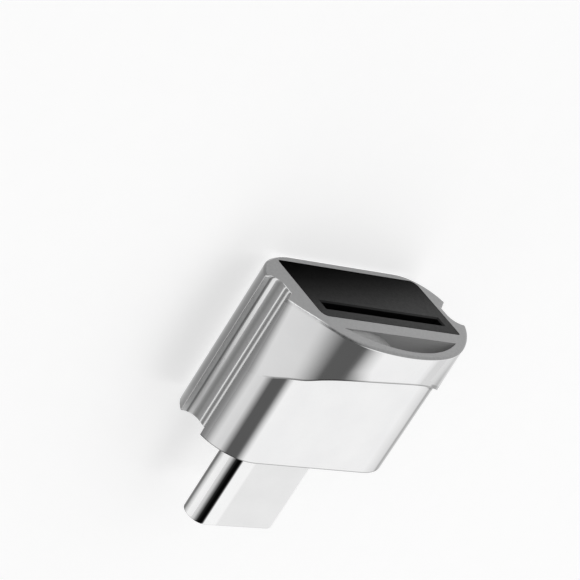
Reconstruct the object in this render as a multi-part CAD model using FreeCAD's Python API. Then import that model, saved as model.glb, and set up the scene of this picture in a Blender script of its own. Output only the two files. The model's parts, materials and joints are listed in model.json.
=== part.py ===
import FreeCAD, Part
import math
import os

# A thumb-sized card reader: a cast metal shell with a card slot at one end
# and a reversible plug at the other. It lies on its flat back.
#
# Axes: +X across the width, +Y towards the plug, +Z from the flat back up to
# the panelled front. The pieces are drawn with x = 0 on the plug's axis, y = 0
# on the slot end face and z = 0 on the back, then moved along Y so that the
# origin is at the bottom centre of the whole reader. All lengths are in
# millimetres. A rise is a height above the plug's axis.

V = FreeCAD.Vector

# How far a cutting shape runs past the face that it cuts
overcut = 1.0

# Cast shell, outer form
body_length = 11.8
half_thickness = 4.05
sharp_edge_x = 8.95
sharp_edge_rise = 1.35
sharp_side_flat = 5.6
lip_x = 9.05
lip_rise = 1.2
lip_side_flat = 4.9
groove_floor_x = 8.0
groove_floor_rise = 0.3
groove_corner_rise = 0.5
rim_round = 0.18

# Raised collar round the slot end. Its lower edge is one arch across the front,
# nearest to the slot end in line with the middle of the slot face.
collar_length = 2.48
collar_arch_radius = 14.5
collar_reach = 0.15
collar_start = 0.1
collar_rim_angle = 50
collar_flare = 4
collar_bed_rise = 2.2
collar_bed_x = 7.9

# Places across the collar: x, rise at the rim, and overhang at the lower edge
collar_stations = (
    (8.4, 2.0, 0.04),
    (7.35, 3.2, 0.12),
    (6.5, 4.15, 0.47),
    (5.6, 4.95, 0.75),
    (2.8, 5.95, 1.7),
    (-1.0, 6.15, 1.93),
    (-4.9, 5.23, 0.96),
    (-7.7, 3.18, 0.3),
    (-8.55, 2.16, 0.12),
)

# Nail recess between the black slot face and the collar's rim
recess_depth = 1.4
recess_wall = 1.15
recess_left = 5.2
recess_right = -5.95
recess_bulge = 1.78
recess_draft = 0.72
recess_ramp_start = 3.6
recess_ramp_end = -0.6
recess_ramp_share = 0.65
recess_ramp_fall = 0.35
recess_lip_depth = 0.1

# Opening, cavity and end wall
face_width = 13.8
face_height = 6.1
face_x = -0.49
face_drop = 0.36
face_corner = 0.6
face_tight_corner = 0.25
cavity_ledge = 0.35
end_wall = 1.2
fit_gap = 0.05

# Black slot face
bezel_depth = 1.2
slot_width = 11.8
slot_height = 0.8
slot_rise = 1.34
slot_lead_in = 0.1
leg_width = 0.7
leg_height = 0.95

# Plug
plug_width = 8.25
plug_height = 2.4
plug_reach = 8.05
plug_wall = 0.25
plug_inside = 2.3
plug_tip_round = 0.12
plug_tab_length = 1.2
plug_tab_height = 1.3

# Stepped boss round the plug's root
boss_step_offset = 0.75
boss_step_height = 0.4
boss_ring_offset = 0.35
boss_ring_height = 0.8
boss_fillet = 0.35

# Plug's insulator, contacts and latch
insulator_setback = 0.15
mouth_side = 0.75
mouth_height = 0.95
mouth_depth = 6.0
contact_pitch = 0.5
contact_count = 12
contact_width = 0.2
contact_thickness = 0.12
contact_gap = 0.02
contact_bump = 0.16
contact_bump_run = 0.5
contact_setback = 1.0
contact_tail = 1.2
latch_thickness = 0.3
latch_arm_gap = 0.25
latch_hook = 0.35
latch_hook_length = 0.6
latch_setback = 1.3
latch_shoulder = 0.4
latch_shoulder_run = 0.5
latch_window_gap = 0.1
holder_length = 1.2
shield_side = 1.125
shield_length = 3.6
shield_thickness = 0.1
shield_setback = 0.8
shield_slot_width = 0.5
shield_slot_length = 2.2
shield_slot_count = 4
shield_slot_margin = 0.4

# Circuit board
board_thickness = 0.8
board_side_gap = 0.1
board_start = 1.3
solder_bead = 0.275
board_nose_length = 1.3
board_nose_gap = 0.15

# Card socket
socket_rail = 0.5
socket_rail_top = 0.2
socket_half_width = 6.05
socket_cover_thickness = 0.15
socket_glue_gap = 0.6
socket_floor_length = 6.0
socket_stop = 0.3
card_channel = 0.9
socket_contact_count = 8
socket_contact_pitch = 1.1
socket_contact_width = 0.5
socket_contact_thickness = 0.12
socket_window_gap = 0.1
socket_window_start = 1.2
socket_window_length = 4.2
socket_foot_length = 0.8
socket_contact_lift = 0.3
socket_contact_tip = 0.7
socket_contact_drop = 0.18
cover_notch_width = 4.4
cover_notch_depth = 0.8
cover_window_width = 7.2
cover_window_length = 0.5
cover_window_start = 3.4
detect_spring_length = 3.0
detect_spring_bow = 0.35
detect_spring_setback = 0.3
detect_spring_gap = 0.15

# Parts on the underside of the board. A place is an x and a y from its middle.
chip_length = 4.9
chip_width = 3.9
chip_height = 1.35
chip_standoff = 0.1
chip_bevel = 0.12
chip_offset = 0.3
chip_lead_count = 8
chip_lead_pitch = 0.5
chip_lead_width = 0.22
chip_lead_thickness = 0.15
chip_lead_reach = 0.95
chip_lead_knee = 0.3
capacitor_length = 1.6
capacitor_size = 0.8
capacitor_cap = 0.3
capacitor_places = ((-4.9, -1.7), (-4.9, -0.2), (-4.9, 1.3), (4.0, -1.7), (4.0, -0.2))
resistor_length = 1.0
resistor_width = 0.5
resistor_height = 0.35
resistor_cap = 0.2
resistor_places = ((4.0, 1.3), (4.0, 2.2), (-4.9, 2.5), (-3.4, 2.75))
film_thickness = 0.1
film_margin = 0.3
glue_length = 0.9
glue_width = 10.6
glue_height = 4.4
glue_drop = 0.3

# Places worked out from the sizes above
overall_length = body_length + plug_reach
axis_z = half_thickness
face_z = axis_z - face_drop
slot_z = axis_z + slot_rise
cavity_width = face_width - 2 * cavity_ledge
cavity_height = face_height - 2 * cavity_ledge
cavity_end = body_length - end_wall
plug_tip = overall_length
plug_root = body_length - plug_inside
board_end = plug_root - board_nose_gap
board_top = axis_z + board_thickness / 2
board_bottom = axis_z - board_thickness / 2
board_width = cavity_width - 2 * board_side_gap
board_nose_start = board_end - board_nose_length
board_nose_width = plug_width - 2 * plug_wall - 2 * solder_bead
board_middle = (board_start + board_nose_start) / 2
mouth_width = plug_width - 2 * mouth_side
mouth_end = plug_tip - mouth_depth
shield_width = plug_width - 2 * shield_side
glue_start = cavity_end - glue_length
socket_start = board_start
socket_end = glue_start - socket_glue_gap
card_bottom = slot_z - card_channel / 2
card_top = card_bottom + card_channel


def box(x0, x1, y0, y1, z0, z1):
    corner = V(min(x0, x1), min(y0, y1), min(z0, z1))
    return Part.makeBox(abs(x1 - x0), abs(y1 - y0), abs(z1 - z0), corner)


def line(a, b):
    return Part.LineSegment(a, b).toShape()


def arc(a, middle, b):
    return Part.Arc(a, middle, b).toShape()


def prism(points, direction):
    """A straight-sided outline pushed along a direction."""
    return Part.Face(Part.makePolygon(points + [points[0]])).extrude(direction)


def fused(solids):
    joined = solids[0].fuse(solids[1:]) if len(solids) > 1 else solids[0]
    return joined.removeSplitter()


def group(solids):
    """Separate solids of one kind, kept apart in one node."""
    return Part.makeCompound(solids)


def row(count, pitch, middle=0):
    """Evenly spaced places, centred on the middle."""
    return [middle + (i - (count - 1) / 2) * pitch for i in range(count)]


def stadium(width, height, y0, y1):
    """A bar on the plug's axis with flat top and bottom and half-round sides."""
    radius = height / 2
    reach = width / 2 - radius
    high, low = axis_z + radius, axis_z - radius
    edges = [
        line(V(-reach, y0, high), V(reach, y0, high)),
        arc(V(reach, y0, high), V(width / 2, y0, axis_z), V(reach, y0, low)),
        line(V(reach, y0, low), V(-reach, y0, low)),
        arc(V(-reach, y0, low), V(-width / 2, y0, axis_z), V(-reach, y0, high)),
    ]
    return Part.Face(Part.Wire(edges)).extrude(V(0, y1 - y0, 0))


def rounded_bar(width, height, wide_corner, tight_corner, y0, y1, x, z):
    """A rectangular bar along Y. Opposite long edges share one corner radius."""
    edges = []
    starts = []
    ends = []
    corners = ((1, 1, wide_corner), (-1, 1, tight_corner),
               (-1, -1, wide_corner), (1, -1, tight_corner))
    for right, up, radius in corners:
        cx = x + right * (width / 2 - radius)
        cz = z + up * (height / 2 - radius)
        level = V(cx + right * radius, y0, cz)
        upright = V(cx, y0, cz + up * radius)
        middle = V(cx + right * radius * math.sqrt(0.5), y0, cz + up * radius * math.sqrt(0.5))
        first, last = (level, upright) if right == up else (upright, level)
        edges.append(arc(first, middle, last))
        starts.append(first)
        ends.append(last)
    for i in range(4):
        edges.append(line(ends[i], starts[(i + 1) % 4]))
    outline = Part.Wire(Part.__sortEdges__(edges))
    return Part.Face(outline).extrude(V(0, y1 - y0, 0))


# Outer form of the shell

def corner_radius(flat_x, end_x, end_rise):
    """Radius of the arc that leaves a flat face smoothly and ends at a corner."""
    run = end_x - flat_x
    fall = half_thickness - end_rise
    return (run ** 2 + fall ** 2) / (2 * fall)


def corner_middle(flat_x, end_x, end_rise):
    """Middle of that arc, as x and rise."""
    radius = corner_radius(flat_x, end_x, end_rise)
    half_turn = math.atan2(half_thickness - end_rise, end_x - flat_x)
    return (flat_x + radius * math.sin(half_turn),
            half_thickness - radius + radius * math.cos(half_turn))


def panel_rise(x):
    """Rise of the front panel at x, with its rounded sides."""
    if x > sharp_side_flat:
        beyond = x - sharp_side_flat
        radius = corner_radius(sharp_side_flat, sharp_edge_x, sharp_edge_rise)
    elif x < -lip_side_flat:
        beyond = -lip_side_flat - x
        radius = corner_radius(lip_side_flat, lip_x, lip_rise)
    else:
        return half_thickness
    return half_thickness - radius + math.sqrt(radius ** 2 - beyond ** 2)


def collar_foot(x):
    """Where the collar's lower edge crosses x, as a distance from the slot end."""
    across = x - face_x
    return collar_length + collar_arch_radius - math.sqrt(collar_arch_radius ** 2 - across ** 2)


def at(x, rise, y=0):
    return V(x, y, axis_z + rise)


def groove(side):
    """A side groove, from its lip along a cove and a flat floor to the sharp edge."""
    run = lip_x - groove_floor_x
    fall = lip_rise - groove_floor_rise
    radius = (run ** 2 + fall ** 2) / (2 * run)
    half_turn = math.asin(fall / radius) / 2
    if run > radius:
        half_turn = math.pi / 2 - half_turn
    lip = at(side * lip_x, -side * lip_rise)
    cove = at(side * (groove_floor_x + radius - radius * math.cos(half_turn)),
              -side * (groove_floor_rise + radius * math.sin(half_turn)))
    floor = at(side * groove_floor_x, -side * groove_floor_rise)
    corner = at(side * groove_floor_x, side * groove_corner_rise)
    sharp = at(side * sharp_edge_x, side * sharp_edge_rise)
    return [arc(lip, cove, floor), line(floor, corner), line(corner, sharp)]


def face_edges(side):
    """The front (1) or back (-1) of the profile: a flat with two rounded sides."""
    sharp_mid = corner_middle(sharp_side_flat, sharp_edge_x, sharp_edge_rise)
    lip_mid = corner_middle(lip_side_flat, lip_x, lip_rise)
    sharp = at(side * sharp_edge_x, side * sharp_edge_rise)
    flat_start = at(side * sharp_side_flat, side * half_thickness)
    flat_end = at(-side * lip_side_flat, side * half_thickness)
    lip = at(-side * lip_x, side * lip_rise)
    return [arc(sharp, at(side * sharp_mid[0], side * sharp_mid[1]), flat_start),
            line(flat_start, flat_end),
            arc(flat_end, at(-side * lip_mid[0], side * lip_mid[1]), lip)]


def panel_body():
    """The shell without its collar. Front and back are alike, turned half round."""
    outline = Part.Wire(face_edges(1) + groove(-1) + face_edges(-1) + groove(1))
    return Part.Face(outline).extrude(V(0, body_length, 0))


def side_angle(flat_x, end_x, end_rise):
    """How steeply a rounded side meets its corner, in degrees above level."""
    radius = corner_radius(flat_x, end_x, end_rise)
    return math.degrees(math.asin((end_x - flat_x) / radius))


def foot_slope(x):
    """How fast the collar's lower edge moves towards the plug, per unit of x."""
    across = x - face_x
    return across / math.sqrt(collar_arch_radius ** 2 - across ** 2)


def collar_line(share):
    """Points across the collar: at its rim for 0, just past its lower edge for 1."""
    points = [V(sharp_edge_x, share * (collar_foot(sharp_edge_x) + collar_reach),
                axis_z + sharp_edge_rise)]
    for x, rim_rise, overhang in collar_stations:
        foot = collar_foot(x)
        slope = (panel_rise(x) + overhang - rim_rise) / foot
        y = share * (foot + collar_reach)
        points.append(at(x, rim_rise + slope * y, y))
    points.append(V(-lip_x, share * (collar_foot(-lip_x) + collar_reach), axis_z + lip_rise))
    return points


def collar_edge(share):
    """A curve across the collar, smooth through its stations."""
    points = collar_line(share)
    rim = collar_line(0)
    steps = [0]
    for before, after in zip(rim, rim[1:]):
        steps.append(steps[-1] + before.distanceToPoint(after))
    foot_angle = side_angle(sharp_side_flat, sharp_edge_x, sharp_edge_rise) + collar_flare
    start = math.radians(collar_rim_angle + share * (foot_angle - collar_rim_angle))
    start_speed = points[0].distanceToPoint(points[1]) / steps[1]
    leave = V(-math.cos(start), -share * foot_slope(sharp_edge_x) * math.cos(start),
              math.sin(start)) * start_speed
    finish = math.radians(side_angle(lip_side_flat, lip_x, lip_rise) + collar_flare)
    finish_speed = points[-2].distanceToPoint(points[-1]) / (steps[-1] - steps[-2])
    arrive = V(-math.cos(finish), -share * foot_slope(-lip_x) * math.cos(finish),
               -math.sin(finish)) * finish_speed
    curve = Part.BSplineCurve()
    curve.interpolate(Points=points, Parameters=steps, Scale=False,
                      InitialTangent=leave, FinalTangent=arrive)
    return curve.toShape()


def collar_space():
    """The room above the sharp edge and the lip, as far as the collar's lower edge."""
    left, right = -lip_x - overcut, sharp_edge_x + overcut
    ceiling = body_length
    above = prism([at(-lip_x, lip_rise, -overcut), at(-collar_bed_x, collar_bed_rise, -overcut),
                   at(collar_bed_x, collar_bed_rise, -overcut),
                   at(sharp_edge_x, sharp_edge_rise, -overcut),
                   at(right, sharp_edge_rise, -overcut), at(right, ceiling, -overcut),
                   at(left, ceiling, -overcut), at(left, lip_rise, -overcut)],
                  V(0, body_length, 0))

    def edge(x):
        return V(x, collar_foot(x), 0)

    beyond = [edge(sharp_edge_x), V(right, collar_foot(sharp_edge_x), 0), V(right, -overcut, 0),
              V(left, -overcut, 0), V(left, collar_foot(-lip_x), 0), edge(-lip_x)]
    before_lower_edge = Part.Wire([
        arc(edge(-lip_x), edge(face_x), edge(sharp_edge_x)),
        *Part.makePolygon(beyond).Edges,
    ])
    return above.common(Part.Face(before_lower_edge).extrude(V(0, 0, axis_z + ceiling)))


def edges_in_plane(shape, y):
    """Edges that lie wholly in the plane at this y."""
    def flat(edge):
        low, high = edge.BoundBox.YMin, edge.BoundBox.YMax
        return abs(low - y) < 1e-4 and abs(high - y) < 1e-4
    return [e for e in shape.Edges if flat(e)]


def outer_form():
    """The shell's outside. The slot end has a rounded rim, the plug end a crisp one."""
    dome = Part.makeRuledSurface(collar_edge(-collar_start), collar_edge(1))
    collar = dome.extrude(V(0, 0, -body_length))
    space = collar_space()
    waste = box(-2 * lip_x, 2 * lip_x, -2 * overcut, 0, 0, 2 * body_length)
    body = panel_body().cut(space).fuse(collar.common(space)).cut(waste).removeSplitter()
    return body.makeFillet(rim_round, edges_in_plane(body, 0))


def plug_boss():
    step = stadium(plug_width + 2 * boss_step_offset, plug_height + 2 * boss_step_offset,
                   body_length - end_wall / 2, body_length + boss_step_height)
    ring = stadium(plug_width + 2 * boss_ring_offset, plug_height + 2 * boss_ring_offset,
                   body_length - end_wall / 2, body_length + boss_ring_height)
    return step.fuse(ring)


def nail_recess():
    """D-shaped pocket with a floor that ramps down from one end."""
    wall = face_z + face_height / 2 + recess_wall
    middle = (recess_left + recess_right) / 2
    outlines = []
    for y, draft in ((0, 0), (recess_depth, recess_draft)):
        left = V(recess_left - draft, y, wall)
        right = V(recess_right + draft, y, wall)
        bulge = V(middle, y, wall + recess_bulge - draft)
        outlines.append(Part.Wire([line(left, right), arc(right, bulge, left)]))
    pocket = Part.makeLoft(outlines, True, True)
    run = recess_ramp_end - recess_ramp_start
    drop = recess_depth - recess_lip_depth
    start = V(recess_ramp_start, recess_lip_depth, 0)
    bow = V(recess_ramp_start + recess_ramp_share * run,
            recess_lip_depth + recess_ramp_fall * drop, 0)
    end = V(recess_ramp_end, recess_depth, 0)
    left, right = recess_left + overcut, recess_right - overcut
    corners = [end, V(right, recess_depth, 0), V(right, 0, 0), V(left, 0, 0),
               V(left, recess_lip_depth, 0), start]
    floor_line = Part.Wire([arc(start, bow, end), *Part.makePolygon(corners).Edges])
    above_floor = Part.Face(floor_line).extrude(V(0, 0, wall + recess_bulge + overcut))
    return pocket.common(above_floor)


def outer_shell():
    shell = outer_form().fuse(plug_boss()).removeSplitter()
    reach = plug_width / 2 + boss_step_offset + fit_gap
    step_foot = [edge for edge in edges_in_plane(shell, body_length)
                 if max(abs(edge.BoundBox.XMin), abs(edge.BoundBox.XMax)) < reach]
    shell = shell.makeFillet(boss_fillet, step_foot)
    mouth = rounded_bar(face_width, face_height, face_corner, face_tight_corner,
                        -overcut, bezel_depth, face_x, face_z)
    cavity = rounded_bar(cavity_width, cavity_height, face_corner, face_tight_corner,
                         bezel_depth / 2, cavity_end, face_x, face_z)
    plug_hole = stadium(plug_width + 2 * fit_gap, plug_height + 2 * fit_gap,
                        cavity_end - overcut, body_length + boss_ring_height + overcut)
    return shell.cut([mouth, cavity, plug_hole, nail_recess()])


# Black face with the card slot

def slot_outline(lead_in, y):
    """Outline of the card slot, wider by the lead-in on every side."""
    width, height = slot_width + 2 * lead_in, slot_height + 2 * lead_in
    corner = V(face_x - width / 2, y, slot_z - height / 2)
    across, up = V(width, 0, 0), V(0, 0, height)
    return Part.makePolygon([corner, corner + across, corner + across + up, corner + up, corner])


def slot_bezel():
    """Black plate with the slot and two legs that hold up the board."""
    plate = rounded_bar(face_width - 2 * fit_gap, face_height - 2 * fit_gap, face_corner,
                        face_tight_corner, 0, bezel_depth, face_x, face_z)
    slot = Part.Face(slot_outline(0, 0)).extrude(V(0, bezel_depth + overcut, 0))
    lead_in = Part.makeLoft([slot_outline(slot_lead_in, 0), slot_outline(0, slot_lead_in)],
                            True, True)
    legs = []
    for side in (-1, 1):
        outer = face_x + side * board_width / 2
        legs.append(box(outer, outer - side * leg_width, bezel_depth, board_nose_start,
                        board_bottom - leg_height, board_bottom))
    return fused([plate] + legs).cut([slot, lead_in])


# Circuit board

def circuit_board():
    half = board_width / 2
    main = box(face_x - half, face_x + half, board_start, board_nose_start,
               board_bottom, board_top)
    nose = box(-board_nose_width / 2, board_nose_width / 2, board_nose_start,
               board_end, board_bottom, board_top)
    return fused([main, nose])


# Plug

def plug_shell():
    outside = stadium(plug_width, plug_height, plug_root, plug_tip)
    outside = outside.makeFillet(plug_tip_round, edges_in_plane(outside, plug_tip))
    inside_width, inside_height = plug_width - 2 * plug_wall, plug_height - 2 * plug_wall
    tube = outside.cut(stadium(inside_width, inside_height, plug_root - overcut,
                               plug_tip + overcut))
    tabs = []
    for side in (-1, 1):
        outer = side * plug_width / 2
        tab_start, tab_end = plug_root - plug_tab_length, plug_root + plug_wall
        tab = box(outer, outer - side * plug_wall, tab_start, tab_end,
                  axis_z - plug_tab_height / 2, axis_z + plug_tab_height / 2)
        tabs.append(tab.common(stadium(plug_width, plug_height, tab_start, tab_end)))
    return fused([tube] + tabs)


def contact_channels(y0, y1):
    """Slots for both contact rows, mirrored about the plug's axis."""
    half = contact_width / 2 + contact_gap
    low = board_thickness / 2 - contact_gap
    high = board_thickness / 2 + contact_thickness + contact_gap
    cuts = []
    for x in row(contact_count, contact_pitch):
        for side in (-1, 1):
            cuts.append(box(x - half, x + half, y0, y1, axis_z + side * low, axis_z + side * high))
    return cuts


def latch_slot(x0, x1, y0, y1):
    """Room for the latch plate, with a small gap above and below."""
    half = latch_thickness / 2 + contact_gap
    return box(x0, x1, y0, y1, axis_z - half, axis_z + half)


def insulator_bar(y0, y1):
    return stadium(plug_width - 2 * plug_wall - 2 * fit_gap,
                   plug_height - 2 * plug_wall - 2 * fit_gap, y0, y1)


def plug_insulator():
    start = plug_root + holder_length
    body = insulator_bar(start, plug_tip - insulator_setback)
    half_mouth = mouth_width / 2
    mouth = box(-half_mouth, half_mouth, mouth_end, plug_tip + overcut,
                axis_z - mouth_height / 2, axis_z + mouth_height / 2)
    cuts = [mouth, latch_slot(-half_mouth, half_mouth, start - overcut, mouth_end + overcut)]
    cuts += contact_channels(start - overcut, plug_tip - contact_setback + contact_gap)
    window_start = mouth_end - latch_shoulder - latch_shoulder_run - latch_window_gap
    window_end = plug_tip - latch_setback + latch_window_gap
    skin = plug_height / 2 - plug_wall - fit_gap
    shield_room = skin - shield_thickness - contact_gap
    shield_end = plug_tip - shield_setback
    for side in (-1, 1):
        cuts.append(latch_slot(side * (half_mouth - fit_gap), side * plug_width / 2,
                               window_start, window_end))
        cuts.append(box(-shield_width / 2 - contact_gap, shield_width / 2 + contact_gap,
                        shield_end - shield_length - contact_gap, shield_end + contact_gap,
                        axis_z + side * shield_room, axis_z + side * (skin + overcut)))
    return body.cut(cuts)


def plug_terminal_holder():
    end = plug_root + holder_length
    block = insulator_bar(plug_root, end)
    plate_slot = latch_slot(-mouth_width / 2, mouth_width / 2, plug_root + holder_length / 2,
                            end + overcut)
    return block.cut([plate_slot] + contact_channels(plug_root - overcut, end + overcut))


def contact_row(side):
    """One row of sprung contacts, soldered to one face of the board."""
    inner = board_thickness / 2
    outer = inner + contact_thickness
    tail = plug_root - contact_tail
    tip = plug_tip - contact_setback
    bend_start, bend_end = tip - 3 * contact_bump_run, tip - 2 * contact_bump_run
    bump_end = tip - contact_bump_run
    outline = [(tail, inner), (bend_start, inner), (bend_end, inner - contact_bump),
               (bump_end, inner - contact_bump), (tip, inner), (tip, outer),
               (bump_end, outer - contact_bump), (bend_end, outer - contact_bump),
               (bend_start, outer), (tail, outer)]
    contacts = []
    for x in row(contact_count, contact_pitch):
        points = [V(x - contact_width / 2, y, axis_z + side * rise) for y, rise in outline]
        contacts.append(prism(points, V(contact_width, 0, 0)))
    return group(contacts)


def plug_latch_plate():
    """Middle plate with two arms whose hooks hold the plug in a socket."""
    base = mouth_width / 2 - 2 * contact_gap
    arm_inner = mouth_width / 2
    arm_outer = plug_width / 2 - plug_wall - latch_arm_gap
    tip = plug_tip - latch_setback
    start = plug_root + holder_length / 2 + contact_gap
    shoulder = mouth_end - latch_shoulder
    half = [(base, start), (base, shoulder - latch_shoulder_run), (arm_outer, shoulder),
            (arm_outer, tip),
            (arm_inner - latch_hook, tip - latch_hook_length / 2),
            (arm_inner, tip - latch_hook_length), (arm_inner, mouth_end - contact_gap)]
    points = half + [(-x, y) for x, y in reversed(half)]
    floor = axis_z - latch_thickness / 2
    return prism([V(x, y, floor) for x, y in points], V(0, 0, latch_thickness))


def ground_spring(side):
    """Thin slotted shield between the insulator and the plug's shell."""
    skin = plug_height / 2 - plug_wall - fit_gap
    y1 = plug_tip - shield_setback
    y0 = y1 - shield_length
    low, high = axis_z + side * (skin - shield_thickness), axis_z + side * skin
    plate = box(-shield_width / 2, shield_width / 2, y0, y1, low, high)
    slot_end_y = y1 - shield_slot_margin
    cuts = []
    for x in row(shield_slot_count, shield_width / shield_slot_count):
        cuts.append(box(x - shield_slot_width / 2, x + shield_slot_width / 2,
                        slot_end_y - shield_slot_length, slot_end_y,
                        axis_z, axis_z + side * (skin + overcut)))
    return plate.cut(cuts)


def plug_solder_joints():
    """Beads that hold the shell's two tabs to the board's nose."""
    beads = []
    nose = board_nose_width / 2
    tab = plug_width / 2 - plug_wall
    y0, y1 = plug_root - plug_tab_length, board_end
    for side in (-1, 1):
        beads.append(box(side * nose, side * tab, y0, y1, board_bottom, board_top))
    return group(beads)


# Card socket

def card_socket_base():
    half = socket_half_width - socket_cover_thickness - fit_gap
    y0 = socket_start
    floor = box(face_x - half, face_x + half, y0, y0 + socket_floor_length, board_top, card_bottom)
    rails = []
    for side in (-1, 1):
        outer = face_x + side * half
        rails.append(box(outer, outer - side * socket_rail_top, y0, socket_end,
                         card_bottom, card_top))
        rails.append(box(outer, outer - side * socket_rail, y0, socket_end, board_top, card_bottom))
    stop = box(face_x - half, face_x + half, socket_end - socket_stop, socket_end,
               card_bottom, card_top)
    windows = []
    gap = socket_window_gap
    for x in socket_contact_places():
        windows.append(box(x - socket_contact_width / 2 - gap, x + socket_contact_width / 2 + gap,
                           y0 + socket_window_start, y0 + socket_window_start + socket_window_length,
                           board_top - overcut, card_bottom + overcut))
    return fused([floor, stop] + rails).cut(windows)


def socket_contact_places():
    return row(socket_contact_count, socket_contact_pitch, face_x)


def card_socket_contacts():
    """Eight spring fingers that rise through the socket's floor."""
    t = socket_contact_thickness
    y0 = socket_start + socket_window_start + socket_window_gap
    y1 = y0 + socket_foot_length
    y3 = y0 + socket_window_length - 2 * socket_window_gap
    y2 = y3 - socket_contact_tip
    peak = card_bottom + socket_contact_lift
    tip = peak - socket_contact_drop
    outline = [(y0, board_top), (y1, board_top), (y2, peak - t), (y3, tip - t),
               (y3, tip), (y2, peak), (y1, board_top + t), (y0, board_top + t)]
    contacts = []
    for x in socket_contact_places():
        points = [V(x - socket_contact_width / 2, y, z) for y, z in outline]
        contacts.append(prism(points, V(socket_contact_width, 0, 0)))
    return group(contacts)


def card_socket_cover():
    """Folded steel lid: a top with two side walls that reach the board."""
    t = socket_cover_thickness
    half = socket_half_width
    top = box(face_x - half, face_x + half, socket_start, socket_end, card_top, card_top + t)
    walls = [box(face_x + side * half, face_x + side * (half - t), socket_start, socket_end,
                 board_top, card_top) for side in (-1, 1)]
    holes = []
    for width, y0, y1 in ((cover_notch_width, -overcut, cover_notch_depth),
                          (cover_window_width, cover_window_start,
                           cover_window_start + cover_window_length)):
        holes.append(box(face_x - width / 2, face_x + width / 2, socket_start + y0,
                         socket_start + y1, card_top - t, card_top + overcut))
    return fused([top] + walls).cut(holes)


def card_detect_spring():
    """Bowed leaf that lies along one rail and presses on the card's edge."""
    inner = face_x + socket_half_width - socket_cover_thickness - fit_gap - socket_rail_top
    y0 = socket_end - socket_stop - detect_spring_length - detect_spring_setback
    y1 = y0 + detect_spring_length
    t = socket_contact_thickness
    z0 = card_bottom + detect_spring_gap
    leaf = Part.Wire([
        line(V(inner, y0, z0), V(inner, y0 + t, z0)),
        arc(V(inner, y0 + t, z0), V(inner - detect_spring_bow + t, (y0 + y1) / 2, z0),
            V(inner, y1 - t, z0)),
        line(V(inner, y1 - t, z0), V(inner, y1, z0)),
        arc(V(inner, y1, z0), V(inner - detect_spring_bow, (y0 + y1) / 2, z0),
            V(inner, y0, z0)),
    ])
    return Part.Face(leaf).extrude(V(0, 0, card_channel - 2 * detect_spring_gap))


# Parts on the underside of the board

def controller_chip():
    top = board_bottom - chip_standoff
    y = board_middle + chip_offset
    body = box(face_x - chip_width / 2, face_x + chip_width / 2, y - chip_length / 2,
               y + chip_length / 2, top - chip_height, top)
    face_edges = [edge for edge in body.Edges if edge.BoundBox.ZMax < top - chip_height / 2]
    return body.makeChamfer(chip_bevel, face_edges)


def controller_leads():
    """Two rows of bent legs between the chip and the board."""
    t = chip_lead_thickness
    middle = board_bottom - chip_standoff - chip_height / 2
    leads = []
    for side in (-1, 1):
        x0 = chip_width / 2
        knee = x0 + chip_lead_knee
        foot = x0 + chip_lead_reach
        outline = [(x0, middle - t / 2), (knee + t / 2, middle - t / 2),
                   (knee + t, board_bottom - t), (foot, board_bottom - t),
                   (foot, board_bottom), (knee, board_bottom),
                   (knee - t / 2, middle + t / 2), (x0, middle + t / 2)]
        for middle_y in row(chip_lead_count, chip_lead_pitch, board_middle + chip_offset):
            y = middle_y - chip_lead_width / 2
            points = [V(face_x + side * x, y, z) for x, z in outline]
            leads.append(prism(points, V(0, chip_lead_width, 0)))
    return group(leads)


def chip_passives(places, length, width, height, cap):
    """Small two-ended parts: their bodies and their soldered end caps."""
    bodies, caps = [], []
    for x, y in places:
        x0, x1 = face_x + x - length / 2, face_x + x + length / 2
        y0, y1 = board_middle + y - width / 2, board_middle + y + width / 2
        z0, z1 = board_bottom - height, board_bottom
        bodies.append(box(x0 + cap, x1 - cap, y0, y1, z0, z1))
        caps.append(box(x0, x0 + cap, y0, y1, z0, z1))
        caps.append(box(x1 - cap, x1, y0, y1, z0, z1))
    return group(bodies), group(caps)


def insulating_film():
    floor = face_z - cavity_height / 2
    half = cavity_width / 2 - face_corner - film_margin
    return box(face_x - half, face_x + half, bezel_depth + film_margin,
               cavity_end - film_margin, floor, floor + film_thickness)


def sealing_glue():
    """Hardened glue behind the end wall, all round the plug's shell."""
    lump = rounded_bar(glue_width, glue_height, face_corner, face_corner, glue_start,
                       cavity_end, 0, axis_z - glue_drop)
    return lump.cut(stadium(plug_width, plug_height, glue_start - overcut, cavity_end + overcut))


capacitor_bodies, capacitor_end_caps = chip_passives(
    capacitor_places, capacitor_length, capacitor_size, capacitor_size, capacitor_cap)
resistor_bodies, resistor_end_caps = chip_passives(
    resistor_places, resistor_length, resistor_width, resistor_height, resistor_cap)

pieces = {
    "outer_shell": outer_shell(),
    "slot_bezel": slot_bezel(),
    "circuit_board": circuit_board(),
    "plug_shell": plug_shell(),
    "plug_insulator": plug_insulator(),
    "plug_terminal_holder": plug_terminal_holder(),
    "plug_contacts_upper": contact_row(1),
    "plug_contacts_lower": contact_row(-1),
    "plug_latch_plate": plug_latch_plate(),
    "plug_ground_spring_upper": ground_spring(1),
    "plug_ground_spring_lower": ground_spring(-1),
    "plug_solder_joints": plug_solder_joints(),
    "card_socket_base": card_socket_base(),
    "card_socket_contacts": card_socket_contacts(),
    "card_socket_cover": card_socket_cover(),
    "card_detect_spring": card_detect_spring(),
    "controller_chip": controller_chip(),
    "controller_leads": controller_leads(),
    "capacitor_bodies": capacitor_bodies,
    "capacitor_end_caps": capacitor_end_caps,
    "resistor_bodies": resistor_bodies,
    "resistor_end_caps": resistor_end_caps,
    "insulating_film": insulating_film(),
    "sealing_glue": sealing_glue(),
}

os.makedirs("parts", exist_ok=True)
for name, shape in pieces.items():
    placed = shape.copy()
    placed.translate(V(0, -overall_length / 2, 0))
    placed.exportStep(f"parts/{name}.step")
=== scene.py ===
import json
import math

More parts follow.
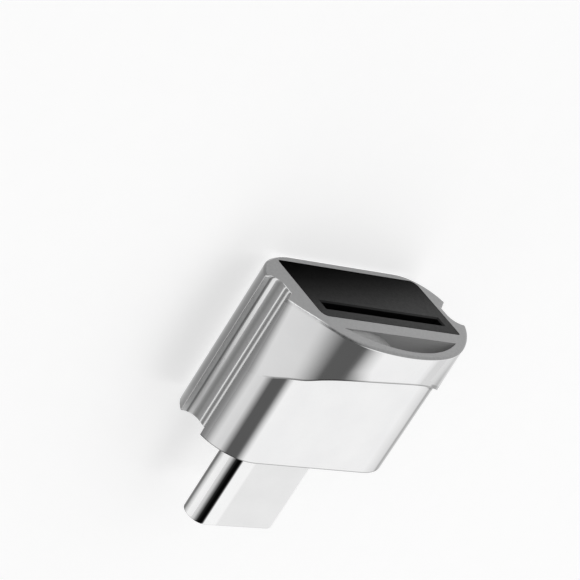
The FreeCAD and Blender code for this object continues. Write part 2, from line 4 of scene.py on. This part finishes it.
import bpy
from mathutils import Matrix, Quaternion, Vector


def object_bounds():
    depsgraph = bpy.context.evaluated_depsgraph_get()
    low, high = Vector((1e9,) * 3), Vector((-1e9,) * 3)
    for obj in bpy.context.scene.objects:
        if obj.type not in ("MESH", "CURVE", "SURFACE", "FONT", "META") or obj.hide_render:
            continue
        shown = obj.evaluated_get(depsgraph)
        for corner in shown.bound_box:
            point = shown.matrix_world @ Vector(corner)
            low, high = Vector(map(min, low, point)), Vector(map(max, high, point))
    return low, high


# Looks for the card reader. Every length is in metres, in the frame's own axes:
# +Y towards the plug, +Z up from the flat back that lies on the floor.

MM = 0.001

# Camera, fitted to the photograph
CAMERA_AZIMUTH = math.radians(61.364)
CAMERA_ELEVATION = math.radians(37.184)
CAMERA_ROLL = math.radians(140.719)
CAMERA_DISTANCE = 187.35 * MM
CAMERA_AIM = Vector((1.668, -6.597, -1.037)) * MM
CAMERA_LENS = 166.19
SENSOR_WIDTH = 36.0

# Floor and light
FLOOR_SIZE = 4.0
FLOOR_DROP = 0.01 * MM
FLOOR_COLOUR = 0.55
FLOOR_LIFT = 0.61
KEY_LAMP_POWER = 0.35
KEY_LAMP_SIZE = 0.3
KEY_LAMP_PLACE = Vector((-0.25, 0.15, 0.55))

# The studio as the polished metal shows it: brightness by the angle round the
# plug's axis, in degrees from straight up towards +X. A black flag hangs overhead.
STUDIO = (
    (-180, 0.86),
    (-120, 0.80),
    (-90, 0.92),
    (-16, 0.93),
    (-8, 0.66),
    (4, 0.13),
    (8, 0.10),
    (31, 0.10),
    (40, 0.38),
    (49, 0.69),
    (68, 0.74),
    (90, 0.8),
    (180, 0.86),
)

# Sizes of the casting, in millimetres. A rise is counted from the plug's axis and a
# depth from the slot end.
AXIS_RISE = 4.05
GROOVE_START_X = 7.9
GROOVE_TOP = 1.35
GROOVE_FOOT = -1.215
COLLAR_LENGTH = 2.48
COLLAR_ARCH_RADIUS = 14.5
FACE_X = -0.49
RIM_ROUND = 0.18
RECESS_X = -0.375
RECESS_RADIUS = 9.66
RECESS_CENTRE_RISE = -4.0
RECESS_FOOT_RISE = 3.82
RECESS_DEPTH = 1.42
BODY_LENGTH = 11.8
PLUG_FLAT_HALF = 2.925
PLUG_INNER_REACH = 1.12

# Where a tone fades, in millimetres: from this place to that one
MIDDLE = (-0.1, 0.1)
BODY_END_DEPTH = (BODY_LENGTH - 0.09, BODY_LENGTH - 0.02)
RIM_SHADE_X = (6.6, 7.3)
RIM_SHADE_RISE = (1.0, 1.5)
UNDER_X = (6.4, 7.6)
UNDER_RISE = (-1.3, -1.2)
EDGE_LINE_WIDTH = (0.06, 0.16)
EDGE_LINE_FAINT_X = (3.4, 4.2)
EDGE_LINE_END_X = (7.9, 8.4)
CORNER_HEIGHT = (0.25, 0.35)
CORNER_X = (-4.8, -4.3)
SHADOW_HEIGHT = (-0.45, -0.3)
SHADOW_X = (-5.9, -5.5)
SHADOW_RISE = (1.3, 1.4)
SMOOTH_COLLAR_X = (-1.5, 0.5)
FLARE_HEIGHT = (0, 0.9)
FLARE_X = (3.4, 4.4)
COVE_HIGHLIGHT_DEPTH = (1, 11)
FACE_MOUTH_DEPTH = (0.005, 0.02)

# An x so far past the lip that it limits nothing, in millimetres
BEYOND_LIP = -20

# Brightness there
UNDER_SHADE = 0.24
BODY_END_SHADE = 0.4
EDGE_LINE_SHADE = 0.35
TIP_SHADE = 0.6

# How strong the collar's edge line is towards the lip, and how far the dark band
# on the collar flares at that edge, in millimetres
EDGE_LINE_FAINT = 0.9
BAND_FLARE = 0.4

# How closely a surface faces along the plug: from a side to an end face
FACING = (0.975, 0.995)

# How far the collar's surface leans towards +X, in degrees, at each x
COLLAR_LEAN = (
    (-1.2, 0),
    (-0.2, 3),
    (1.8, 13),
    (2.7, 18),
    (3.5, 22.5),
    (4.15, 27),
    (4.9, 33),
    (5.65, 40.5),
    (6.2, 44),
    (6.8, 48),
    (7.75, 53),
    (8.5, 58),
    (8.8, 68),
    (8.95, 76),
)

# Brightness across a rounded side, towards the sharp edge (+) and the lip (-)
SIDE_SHADE = (
    (-7.7, 0.9),
    (-6.9, 0.3),
    (-6.45, 0.22),
    (-6.36, 0.4),
    (-6.25, 0.68),
    (-6.08, 0.78),
    (-5.85, 0.83),
    (-4.9, 1),
    (8.55, 1),
    (8.68, 0.75),
    (8.78, 0.44),
    (8.86, 0.27),
    (8.95, 0.22),
)

# Brightness across the collar, towards the lip
COLLAR_SHADE = (
    (-6.6, 0.9),
    (-5.8, 0.35),
    (-5.4, 0.3),
    (-5.0, 0.45),
    (-4.6, 0.6),
    (-4.0, 0.7),
    (-2.8, 0.75),
    (-2.4, 0.9),
    (-1.9, 1),
)

# Grey of the nail recess, along it, with painted shade: darker where it runs deep
RECESS_SHADE = (
    (-5, 0.51),
    (-0.5, 0.46),
    (1.2, 0.4),
    (2.2, 0.35),
    (4, 0.44),
)

# Brightness across a side groove, painted to stand for its reflections and shade, by the rise
# from its lip to the sharp edge
GROOVE_SHADE = (
    (-1.21, 0.8),
    (-1.17, 0.75),
    (-1.14, 0.3),
    (-1.12, 0.3),
    (-1.06, 0.9),
    (-1.0, 1),
    (-0.92, 1),
    (-0.85, 0.7),
    (-0.75, 0.48),
    (-0.62, 0.4),
    (-0.5, 0.5),
    (-0.25, 0.58),
    (-0.1, 0.95),
    (0.08, 0.42),
    (0.17, 0.4),
    (0.33, 0.85),
    (0.43, 0.8),
    (0.5, 0.4),
)

# Painted highlights: polished lines of a side groove, by the same rise: middle and half width.
# They lean outwards to catch the bright studio, and the first one fades towards the plug.
GROOVE_HIGHLIGHTS = (
    (-0.99, 0.07),
    (-0.085, 0.035),
    (0.365, 0.045),
)
GROOVE_HIGHLIGHT_FADE = 0.04
GROOVE_HIGHLIGHT_LEAN = 60

# The plug's rounded sides, by the angle from straight up: where they lean as far
# as reflections go, in degrees, and their brightness
PLUG_LEAN = (
    (0, 0),
    (15, 18),
    (22, 28),
    (34, 41),
    (42, 52),
    (90, 90),
)
PLUG_SHADE = (
    (0, 1),
    (17, 1),
    (22, 0.25),
    (25, 0.02),
    (42, 0.02),
    (50, 0.35),
    (56, 0.75),
    (64, 0.88),
    (86, 0.95),
    (101, 0.55),
    (110, 0.2),
    (118, 0.05),
    (145, 0.08),
    (180, 0.6),
)
PLUG_FLAT_SHADE = (
    (-3.75, 0.7),
    (-3.55, 0.88),
    (1.95, 0.88),
    (2.2, 1),
)

# Gloss of the black face, from its foot to its top: a painted reflection, brighter towards the
# top
FACE_GLOSS = (
    (-4.5, 0),
    (-3.5, 0.001),
    (-2.5, 0.004),
    (-1.5, 0.013),
    (-0.5, 0.032),
    (0.5, 0.063),
    (1.5, 0.092),
    (3.9, 0.075),
)
FACE_GLOSS_SLANT = 0.176
FACE_MOUTH_GLOSS = 2.5

# Where noise is darkest and lightest
NOISE_LOW = 0.3
NOISE_HIGH = 0.7


def new_material(name):
    material = bpy.data.materials.new(name)
    material.use_nodes = True
    tree = material.node_tree
    return material, tree, tree.nodes["Principled BSDF"]


def add(tree, kind, **settings):
    node = tree.nodes.new(kind)
    for key, value in settings.items():
        setattr(node, key, value)
    return node


def math_node(tree, operation, a, b=None):
    node = add(tree, "ShaderNodeMath", operation=operation)
    for socket, value in zip(node.inputs, (a, b)):
        if value is None:
            continue
        if isinstance(value, (int, float)):
            socket.default_value = value
        else:
            tree.links.new(value, socket)
    return node.outputs[0]


def object_noise(tree, scale, detail=3.0, stretch=(1, 1, 1)):
    """Noise fixed to the object. The scale is in features per metre."""
    coordinates = add(tree, "ShaderNodeTexCoord")
    mapping = add(tree, "ShaderNodeMapping")
    mapping.inputs["Scale"].default_value = stretch
    noise = add(tree, "ShaderNodeTexNoise")
    noise.inputs["Scale"].default_value = scale
    noise.inputs["Detail"].default_value = detail
    tree.links.new(coordinates.outputs["Object"], mapping.inputs["Vector"])
    tree.links.new(mapping.outputs["Vector"], noise.inputs["Vector"])
    return noise.outputs["Fac"]


def ramp(tree, factor, stops):
    """Colour ramp. Each stop is a place from 0 to 1 and a grey or a colour."""
    node = add(tree, "ShaderNodeValToRGB")
    elements = node.color_ramp.elements
    while len(elements) > 1:
        elements.remove(elements[-1])
    for i, (place, colour) in enumerate(stops):
        if isinstance(colour, (int, float)):
            colour = (colour, colour, colour)
        element = elements[0] if i == 0 else elements.new(place)
        element.position = place
        element.color = (*colour, 1)
    tree.links.new(factor, node.inputs["Fac"])
    return node.outputs["Color"]


def mottled(tree, noise, dark, light):
    return ramp(tree, noise, ((NOISE_LOW, dark), (NOISE_HIGH, light)))


def remap(tree, value, low, high, new_low, new_high):
    node = add(tree, "ShaderNodeMapRange")
    tree.links.new(value, node.inputs["Value"])
    for name, number in (("From Min", low), ("From Max", high),
                         ("To Min", new_low), ("To Max", new_high)):
        node.inputs[name].default_value = number
    return node.outputs["Result"]


def varied(tree, noise, low, high):
    return remap(tree, noise, NOISE_LOW, NOISE_HIGH, low, high)


def rising(tree, value, low, high):
    """0 below the low place, 1 above the high one."""
    return remap(tree, value, low, high, 0, 1)


def falling(tree, value, low, high):
    """1 below the low place, 0 above the high one."""
    return remap(tree, value, low, high, 1, 0)


def bump(tree, shader, height, distance, strength=1.0):
    node = add(tree, "ShaderNodeBump")
    node.inputs["Distance"].default_value = distance
    node.inputs["Strength"].default_value = strength
    tree.links.new(height, node.inputs["Height"])
    tree.links.new(node.outputs["Normal"], shader.inputs["Normal"])


def blend(tree, factor, a, b):
    node = add(tree, "ShaderNodeMix", data_type="RGBA")
    tree.links.new(factor, node.inputs["Factor"])
    for name, value in (("A", a), ("B", b)):
        socket = next(s for s in node.inputs if s.name == name and s.type == "RGBA")
        tree.links.new(value, socket)
    return next(s for s in node.outputs if s.type == "RGBA")


def black(tree):
    node = add(tree, "ShaderNodeRGB")
    node.outputs[0].default_value = (0, 0, 0, 1)
    return node.outputs[0]


def place(tree):
    """Place on the object in millimetres: x, distance from the slot end, rise."""
    coordinates = add(tree, "ShaderNodeTexCoord")
    parts = add(tree, "ShaderNodeSeparateXYZ")
    tree.links.new(coordinates.outputs["Object"], parts.inputs["Vector"])
    x, y, z = (math_node(tree, "DIVIDE", parts.outputs[axis], MM) for axis in "XYZ")
    return x, math_node(tree, "SUBTRACT", y, slot_end), math_node(tree, "SUBTRACT", z, AXIS_RISE)


def product(tree, first, *others):
    for other in others:
        first = math_node(tree, "MULTIPLY", first, other)
    return first


def highest(tree, first, *others):
    for other in others:
        first = math_node(tree, "MAXIMUM", first, other)
    return first


def inverse(tree, value):
    return math_node(tree, "SUBTRACT", 1, value)


def profile(tree, value, stops):
    """Ramp whose stops are places along the value and greys."""
    low, high = stops[0][0], stops[-1][0]
    factor = rising(tree, value, low, high)
    return ramp(tree, factor, [((at - low) / (high - low), grey) for at, grey in stops])


def sagitta(tree, run, radius):
    """How far an arc of this radius has turned back at this run from its middle."""
    square = math_node(tree, "SUBTRACT", radius ** 2, product(tree, run, run))
    root = math_node(tree, "SQRT", square)
    return math_node(tree, "SUBTRACT", radius, root)


def facing_along_plug(tree):
    """0 on the sides, rising to 1 where the surface faces along the plug's axis."""
    geometry = add(tree, "ShaderNodeNewGeometry")
    parts = add(tree, "ShaderNodeSeparateXYZ")
    tree.links.new(geometry.outputs["True Normal"], parts.inputs["Vector"])
    return rising(tree, math_node(tree, "ABSOLUTE", parts.outputs["Y"]), *FACING)


def groove_mask(tree, x, rise):
    """1 in the side grooves. Also the rise counted from lip to sharp edge."""
    along_groove = product(tree, rise, math_node(tree, "SIGN", x))
    out = math_node(tree, "ABSOLUTE", x)
    mask = product(tree, rising(tree, out, GROOVE_START_X - 0.02, GROOVE_START_X),
                   rising(tree, along_groove, GROOVE_FOOT - 0.01, GROOVE_FOOT),
                   falling(tree, along_groove, GROOVE_TOP - 0.03, GROOVE_TOP - 0.01))
    return mask, along_groove


def groove_highlights(tree, depth, along_groove):
    """1 on the painted highlight lines of a groove."""
    lines = []
    for middle, half in GROOVE_HIGHLIGHTS:
        off = math_node(tree, "ABSOLUTE", math_node(tree, "SUBTRACT", along_groove, middle))
        lines.append(falling(tree, off, half, half + GROOVE_HIGHLIGHT_FADE))
    lines[0] = product(tree, lines[0], falling(tree, depth, *COVE_HIGHLIGHT_DEPTH))
    return highest(tree, *lines)


def recess_mask(tree, x, depth, rise):
    """1 on the walls and floor of the nail recess."""
    across = math_node(tree, "SUBTRACT", x, RECESS_X)
    top = math_node(tree, "SUBTRACT", RECESS_CENTRE_RISE + RECESS_RADIUS,
                    sagitta(tree, across, RECESS_RADIUS))
    room = math_node(tree, "SUBTRACT", top, rise)
    return product(tree, rising(tree, room, 0, 0.01),
                   rising(tree, rise, RECESS_FOOT_RISE, RECESS_FOOT_RISE + 0.01),
                   rising(tree, depth, 0.01, 0.03),
                   falling(tree, depth, RECESS_DEPTH, RECESS_DEPTH + 0.02))


def rim_shade_mask(tree, x, depth, rise):
    """1 on the stretch of the slot end's rounded rim where the end faces' satin grey is painted
    over it as shade.
    """
    return product(tree, falling(tree, depth, RIM_ROUND - 0.03, RIM_ROUND),
                   falling(tree, x, *RIM_SHADE_X), rising(tree, rise, *RIM_SHADE_RISE))


def collar_mask(tree, x, depth, rise):
    """1 on the collar's outside. Also how far it is to the collar's lower edge."""
    across = math_node(tree, "SUBTRACT", x, FACE_X)
    foot = math_node(tree, "ADD", COLLAR_LENGTH, sagitta(tree, across, COLLAR_ARCH_RADIUS))
    left = math_node(tree, "SUBTRACT", foot, depth)
    mask = product(tree, rising(tree, left, 0, 0.01),
                   rising(tree, depth, RIM_ROUND - 0.02, RIM_ROUND + 0.06),
                   rising(tree, rise, GROOVE_TOP - 0.02, GROOVE_TOP + 0.02))
    return mask, left


def collar_edge_shade(tree, x, rise, collar, left):
    """1 where shade is painted: on the line along the collar's lower edge, on its corner and just
    below that.
    """
    line = product(tree, collar, falling(tree, left, *EDGE_LINE_WIDTH),
                   remap(tree, x, *EDGE_LINE_FAINT_X, EDGE_LINE_FAINT, 1),
                   falling(tree, x, *EDGE_LINE_END_X))
    corner = product(tree, collar, falling(tree, left, *CORNER_HEIGHT),
                     falling(tree, x, *CORNER_X))
    shadow = product(tree, falling(tree, left, 0, 0.01), rising(tree, left, *SHADOW_HEIGHT),
                     falling(tree, x, *SHADOW_X), rising(tree, rise, *SHADOW_RISE))
    return highest(tree, line, corner, shadow)


def lean_profile(tree, value, stops):
    """Degrees of lean along the value."""
    return product(tree, profile(tree, value, [(at, turn / 90) for at, turn in stops]), 90)


def lean(tree, shader, mask, degrees):
    """Where the mask is 1, the surface leans from +Z towards +X by these degrees."""
    angle = math_node(tree, "RADIANS", degrees)
    leaning = add(tree, "ShaderNodeCombineXYZ")
    tree.links.new(math_node(tree, "SINE", angle), leaning.inputs["X"])
    tree.links.new(math_node(tree, "COSINE", angle), leaning.inputs["Z"])
    rippled = shader.inputs["Normal"].links[0].from_socket
    choice = add(tree, "ShaderNodeMix", data_type="VECTOR")
    tree.links.new(mask, choice.inputs["Factor"])
    vectors = [socket for socket in choice.inputs if socket.type == "VECTOR"]
    tree.links.new(rippled, vectors[-2])
    tree.links.new(leaning.outputs["Vector"], vectors[-1])
    blended = next(socket for socket in choice.outputs if socket.type == "VECTOR")
    tree.links.new(blended, shader.inputs["Normal"])


def zinc_shade(tree, x, depth, rise, collar, left):
    """Painted light and shade of the polished surface: its brightness by its place on the
    casting.
    """
    # Painted shade: above the axis both sides darken, below it only the sharp edge does
    lowest = remap(tree, rise, *MIDDLE, 0, BEYOND_LIP)
    across = highest(tree, product(tree, x, math_node(tree, "SIGN", rise)), lowest)
    under = product(tree, falling(tree, rise, *UNDER_RISE),
                    rising(tree, math_node(tree, "ABSOLUTE", x), *UNDER_X))
    collar_loss = product(tree, collar, inverse(tree, profile(tree, x, COLLAR_SHADE)))
    edge = collar_edge_shade(tree, x, rise, collar, left)
    return product(tree, profile(tree, across, SIDE_SHADE), inverse(tree, collar_loss),
                   remap(tree, under, 0, 1, 1, UNDER_SHADE),
                   remap(tree, depth, *BODY_END_DEPTH, 1, BODY_END_SHADE),
                   remap(tree, edge, 0, 1, 1, EDGE_LINE_SHADE))


def zinc():
    """Polished, plated casting. Its end faces are satin grey; its grooves and recess are grey
    with painted shade, the grooves also with painted reflections.
    """
    material, tree, shader = new_material("polished_zinc")
    x, depth, rise = place(tree)
    clouds = object_noise(tree, 260, 4)
    grain = object_noise(tree, 5200, 2, (1, 0.12, 1))
    face = facing_along_plug(tree)
    groove, along_groove = groove_mask(tree, x, rise)
    groove = product(tree, groove, inverse(tree, face))
    recess = recess_mask(tree, x, depth, rise)
    collar, left = collar_mask(tree, x, depth, rise)
    collar = product(tree, collar, inverse(tree, face), inverse(tree, recess))
    end = highest(tree, face, rim_shade_mask(tree, x, depth, rise))
    # Painted highlights: metal lines in each groove, leaned to catch the bright studio
    lines = product(tree, groove, groove_highlights(tree, depth, along_groove))
    pocket = highest(tree, math_node(tree, "SUBTRACT", groove, lines), recess)

    polished = mottled(tree, clouds, (0.90, 0.90, 0.905), (0.95, 0.95, 0.95))
    brushed = mottled(tree, grain, (0.285, 0.285, 0.288), (0.35, 0.35, 0.35))
    # Painted shade and reflections darken the polished tone by place
    colour = blend(tree, zinc_shade(tree, x, depth, rise, collar, left), black(tree), polished)
    # The grooves' grey, with painted reflections and shade across them
    colour = blend(tree, groove, colour, profile(tree, along_groove, GROOVE_SHADE))
    # Satin grey on the end faces, and painted shade on a stretch of the rim
    colour = blend(tree, end, colour, brushed)
    # The recess's grey, with painted shade along it
    colour = blend(tree, recess, colour, profile(tree, x, RECESS_SHADE))
    tree.links.new(colour, shader.inputs["Base Color"])

    tree.links.new(inverse(tree, pocket), shader.inputs["Metallic"])
    shader.inputs["Specular IOR Level"].default_value = 0.2
    smooth = varied(tree, clouds, 0.05, 0.09)
    rougher = math_node(tree, "SUBTRACT", varied(tree, grain, 0.34, 0.42), smooth)
    satin = product(tree, rougher, highest(tree, end, pocket))
    tree.links.new(math_node(tree, "ADD", smooth, satin), shader.inputs["Roughness"])

    bump(tree, shader, grain, 0.002 * MM, 0.35)
    flare = product(tree, remap(tree, left, *FLARE_HEIGHT, BAND_FLARE, 0),
                    falling(tree, x, *FLARE_X))
    lean(tree, shader, product(tree, collar, rising(tree, x, *SMOOTH_COLLAR_X)),
         lean_profile(tree, math_node(tree, "ADD", x, flare), COLLAR_LEAN))
    lean(tree, shader, lines,
         remap(tree, x, *MIDDLE, GROOVE_HIGHLIGHT_LEAN - 180, GROOVE_HIGHLIGHT_LEAN))
    return material


def steel():
    """Deep-drawn steel, plated bright, with fine lines along the draw."""
    material, tree, shader = new_material("polished_steel")
    shader.inputs["Metallic"].default_value = 1
    x, depth, rise = place(tree)
    side = math_node(tree, "SUBTRACT", x, PLUG_FLAT_HALF)
    angle = math_node(tree, "DEGREES", math_node(tree, "ARCTAN2", side, rise))
    lines = object_noise(tree, 9000, 2, (1, 0.02, 1))
    clouds = object_noise(tree, 400, 3)
    colour = mottled(tree, clouds, (0.95, 0.95, 0.95), (0.99, 0.99, 0.99))
    # Painted reflections and shade: a dark stripe along the rounded side, a brighter band beside
    # it, darker far edge and tip
    shade = product(tree, profile(tree, angle, PLUG_SHADE), profile(tree, x, PLUG_FLAT_SHADE),
                    remap(tree, depth, tip_depth - 0.12, tip_depth - 0.03, 1, TIP_SHADE))
    tree.links.new(blend(tree, shade, black(tree), colour), shader.inputs["Base Color"])
    tree.links.new(varied(tree, lines, 0.05, 0.1), shader.inputs["Roughness"])

    bump(tree, shader, lines, 0.001 * MM, 0.3)
    square = math_node(tree, "ADD", product(tree, side, side), product(tree, rise, rise))
    reach = math_node(tree, "SQRT", square)
    outside = product(tree, rising(tree, side, 0, 0.02), rising(tree, rise, 0, 0.1),
                      rising(tree, reach, PLUG_INNER_REACH, PLUG_INNER_REACH + 0.04),
                      falling(tree, depth, tip_depth - 0.15, tip_depth - 0.12))
    lean(tree, shader, outside, lean_profile(tree, angle, PLUG_LEAN))
    return material


def plastic(name, dark, light, roughness, grain=7000, gloss=0.5, relief=0.003):
    """Moulded plastic with a fine texture and a slightly uneven tone."""
    material, tree, shader = new_material(name)
    clouds = object_noise(tree, 500, 3)
    texture = object_noise(tree, grain, 3)
    tree.links.new(mottled(tree, clouds, dark, light), shader.inputs["Base Color"])
    tree.links.new(varied(tree, texture, roughness, roughness + 0.12), shader.inputs["Roughness"])
    shader.inputs["Specular IOR Level"].default_value = gloss
    bump(tree, shader, texture, relief * MM, 0.4)
    return material


def face_plastic():
    """Black plastic of the slot face. Its gloss rises towards its top and in the slot's mouth as
    painted reflection.
    """
    material = plastic("black_plastic", 0.002, 0.004, 0.3)
    tree = material.node_tree
    x, depth, rise = place(tree)
    height = math_node(tree, "SUBTRACT", rise, product(tree, x, FACE_GLOSS_SLANT))
    gloss = product(tree, profile(tree, height, FACE_GLOSS),
                    remap(tree, depth, *FACE_MOUTH_DEPTH, 1, FACE_MOUTH_GLOSS))
    tree.links.new(gloss, tree.nodes["Principled BSDF"].inputs["Specular IOR Level"])
    return material


def metal(name, dark, light, roughness, grain=3000):
    """Stamped or soldered metal with a mottled tone."""
    material, tree, shader = new_material(name)
    shader.inputs["Metallic"].default_value = 1
    mottle = object_noise(tree, grain, 4)
    tree.links.new(mottled(tree, mottle, dark, light), shader.inputs["Base Color"])
    tree.links.new(varied(tree, mottle, roughness, roughness + 0.15), shader.inputs["Roughness"])
    bump(tree, shader, mottle, 0.003 * MM, 0.3)
    return material


def laminate():
    """Glass-cloth board under solder resist: the weave shows faintly."""
    material, tree, shader = new_material("board_laminate")
    coordinates = add(tree, "ShaderNodeTexCoord")
    weave = []
    for direction in ("X", "Y"):
        wave = add(tree, "ShaderNodeTexWave", bands_direction=direction)
        wave.inputs["Scale"].default_value = 900
        wave.inputs["Distortion"].default_value = 0.6
        tree.links.new(coordinates.outputs["Object"], wave.inputs["Vector"])
        weave.append(wave.outputs["Fac"])
    cloth = product(tree, *weave)
    tree.links.new(ramp(tree, cloth, ((0.0, (0.006, 0.075, 0.03)), (1.0, (0.012, 0.12, 0.05)))),
                   shader.inputs["Base Color"])
    tree.links.new(remap(tree, cloth, 0, 1, 0.3, 0.45), shader.inputs["Roughness"])
    bump(tree, shader, cloth, 0.004 * MM, 0.4)
    return material


def clear(name, dark, light, roughness, see_through):
    """Film or glue that lets some light through."""
    material, tree, shader = new_material(name)
    mottle = object_noise(tree, 900, 4)
    tree.links.new(mottled(tree, mottle, dark, light), shader.inputs["Base Color"])
    tree.links.new(varied(tree, mottle, roughness, roughness + 0.15), shader.inputs["Roughness"])
    shader.inputs["Transmission Weight"].default_value = see_through
    bump(tree, shader, mottle, 0.01 * MM, 0.4)
    return material


def dress_nodes():
    finishes = {
        "polished_zinc": zinc(),
        "polished_steel": steel(),
        "black_plastic": face_plastic(),
        "insulator_plastic": plastic("insulator_plastic", 0.008, 0.014, 0.4),
        "socket_plastic": plastic("socket_plastic", 0.015, 0.03, 0.45),
        "contact_gold": metal("contact_gold", (0.75, 0.52, 0.2), (0.9, 0.68, 0.32), 0.18),
        "spring_steel": metal("spring_steel", 0.5, 0.65, 0.22),
        "solder_tin": metal("solder_tin", 0.52, 0.72, 0.25),
        "board_laminate": laminate(),
        "chip_resin": plastic("chip_resin", 0.012, 0.022, 0.55, relief=0.006),
        "capacitor_ceramic": plastic("capacitor_ceramic", (0.28, 0.17, 0.09),
                                     (0.36, 0.23, 0.13), 0.4),
        "resistor_coating": plastic("resistor_coating", 0.01, 0.02, 0.35),
        "amber_film": clear("amber_film", (0.5, 0.2, 0.02), (0.65, 0.3, 0.04), 0.15, 0.4),
        "clear_glue": clear("clear_glue", (0.6, 0.58, 0.5), (0.75, 0.73, 0.66), 0.2, 0.5),
    }
    for part in frame["record"]["subparts"]:
        mesh = frame["nodes"][part["node"]].data
        mesh.materials.clear()
        mesh.materials.append(finishes[part["material_slot"]])


def build_floor():
    half = FLOOR_SIZE / 2
    corners = [(-half, -half, -FLOOR_DROP), (half, -half, -FLOOR_DROP),
               (half, half, -FLOOR_DROP), (-half, half, -FLOOR_DROP)]
    mesh = bpy.data.meshes.new("floor")
    mesh.from_pydata(corners, [], [(0, 1, 2, 3)])
    floor = bpy.data.objects.new("floor", mesh)
    bpy.context.scene.collection.objects.link(floor)

    material, tree, shader = new_material("studio_floor")
    paper = object_noise(tree, 600, 3)
    tree.links.new(mottled(tree, paper, FLOOR_COLOUR - 0.01, FLOOR_COLOUR),
                   shader.inputs["Base Color"])
    shader.inputs["Roughness"].default_value = 0.9
    shader.inputs["Specular IOR Level"].default_value = 0.0
    # The lift whitens the floor for the camera and for reflections only, so it
    # sheds no light on the object and the shadow stays.
    rays = add(tree, "ShaderNodeLightPath")
    seen = highest(tree, rays.outputs["Is Camera Ray"], rays.outputs["Is Glossy Ray"],
                   rays.outputs["Is Transmission Ray"])
    shader.inputs["Emission Color"].default_value = (1, 1, 1, 1)
    tree.links.new(product(tree, seen, FLOOR_LIFT), shader.inputs["Emission Strength"])
    mesh.materials.append(material)


def build_world():
    world = bpy.data.worlds.new("studio")
    bpy.context.scene.world = world
    world.use_nodes = True
    tree = world.node_tree
    background = tree.nodes["Background"]
    coordinates = add(tree, "ShaderNodeTexCoord")
    parts = add(tree, "ShaderNodeSeparateXYZ")
    tree.links.new(coordinates.outputs["Generated"], parts.inputs["Vector"])
    angle = math_node(tree, "ARCTAN2", parts.outputs["X"], parts.outputs["Z"])
    turn = rising(tree, angle, -math.pi, math.pi)
    stops = [((degrees + 180) / 360, grey) for degrees, grey in STUDIO]
    studio = ramp(tree, turn, stops)
    rays = add(tree, "ShaderNodeLightPath")
    white = add(tree, "ShaderNodeRGB")
    white.outputs[0].default_value = (1, 1, 1, 1)
    colour = blend(tree, rays.outputs["Is Camera Ray"], studio, white.outputs[0])
    tree.links.new(colour, background.inputs["Color"])
    background.inputs["Strength"].default_value = 1.0


def build_lamp():
    data = bpy.data.lights.new("key", "AREA")
    data.energy = KEY_LAMP_POWER
    data.size = KEY_LAMP_SIZE
    lamp = bpy.data.objects.new("key", data)
    lamp.location = KEY_LAMP_PLACE
    lamp.rotation_mode = "QUATERNION"
    lamp.rotation_quaternion = KEY_LAMP_PLACE.to_track_quat("Z", "Y")
    lamp.visible_glossy = False
    bpy.context.scene.collection.objects.link(lamp)


def build_camera():
    back = Vector((math.sin(CAMERA_AZIMUTH) * math.cos(CAMERA_ELEVATION),
                   -math.cos(CAMERA_AZIMUTH) * math.cos(CAMERA_ELEVATION),
                   math.sin(CAMERA_ELEVATION)))
    data = bpy.data.cameras.new("camera")
    data.sensor_width = SENSOR_WIDTH
    data.lens = CAMERA_LENS
    data.clip_start = 0.005
    data.clip_end = 20
    camera = bpy.data.objects.new("camera", data)
    camera.location = CAMERA_AIM + back * CAMERA_DISTANCE
    camera.rotation_mode = "QUATERNION"
    level = back.to_track_quat("Z", "Y")
    camera.rotation_quaternion = level @ Quaternion((0, 0, 1), CAMERA_ROLL)
    bpy.context.scene.collection.objects.link(camera)
    bpy.context.scene.camera = camera


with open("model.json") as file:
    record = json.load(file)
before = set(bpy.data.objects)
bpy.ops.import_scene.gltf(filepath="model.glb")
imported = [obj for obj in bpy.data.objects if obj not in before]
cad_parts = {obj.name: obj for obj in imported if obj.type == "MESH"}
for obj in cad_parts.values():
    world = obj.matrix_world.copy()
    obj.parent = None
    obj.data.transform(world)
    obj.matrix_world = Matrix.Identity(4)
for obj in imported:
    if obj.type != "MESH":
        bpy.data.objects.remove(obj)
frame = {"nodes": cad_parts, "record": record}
bounds_at_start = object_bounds()
slot_end = bounds_at_start[0].y / MM
tip_depth = bounds_at_start[1].y / MM - slot_end
bpy.context.scene.view_settings.view_transform = "Standard"
dress_nodes()
build_floor()
build_world()
build_lamp()
build_camera()
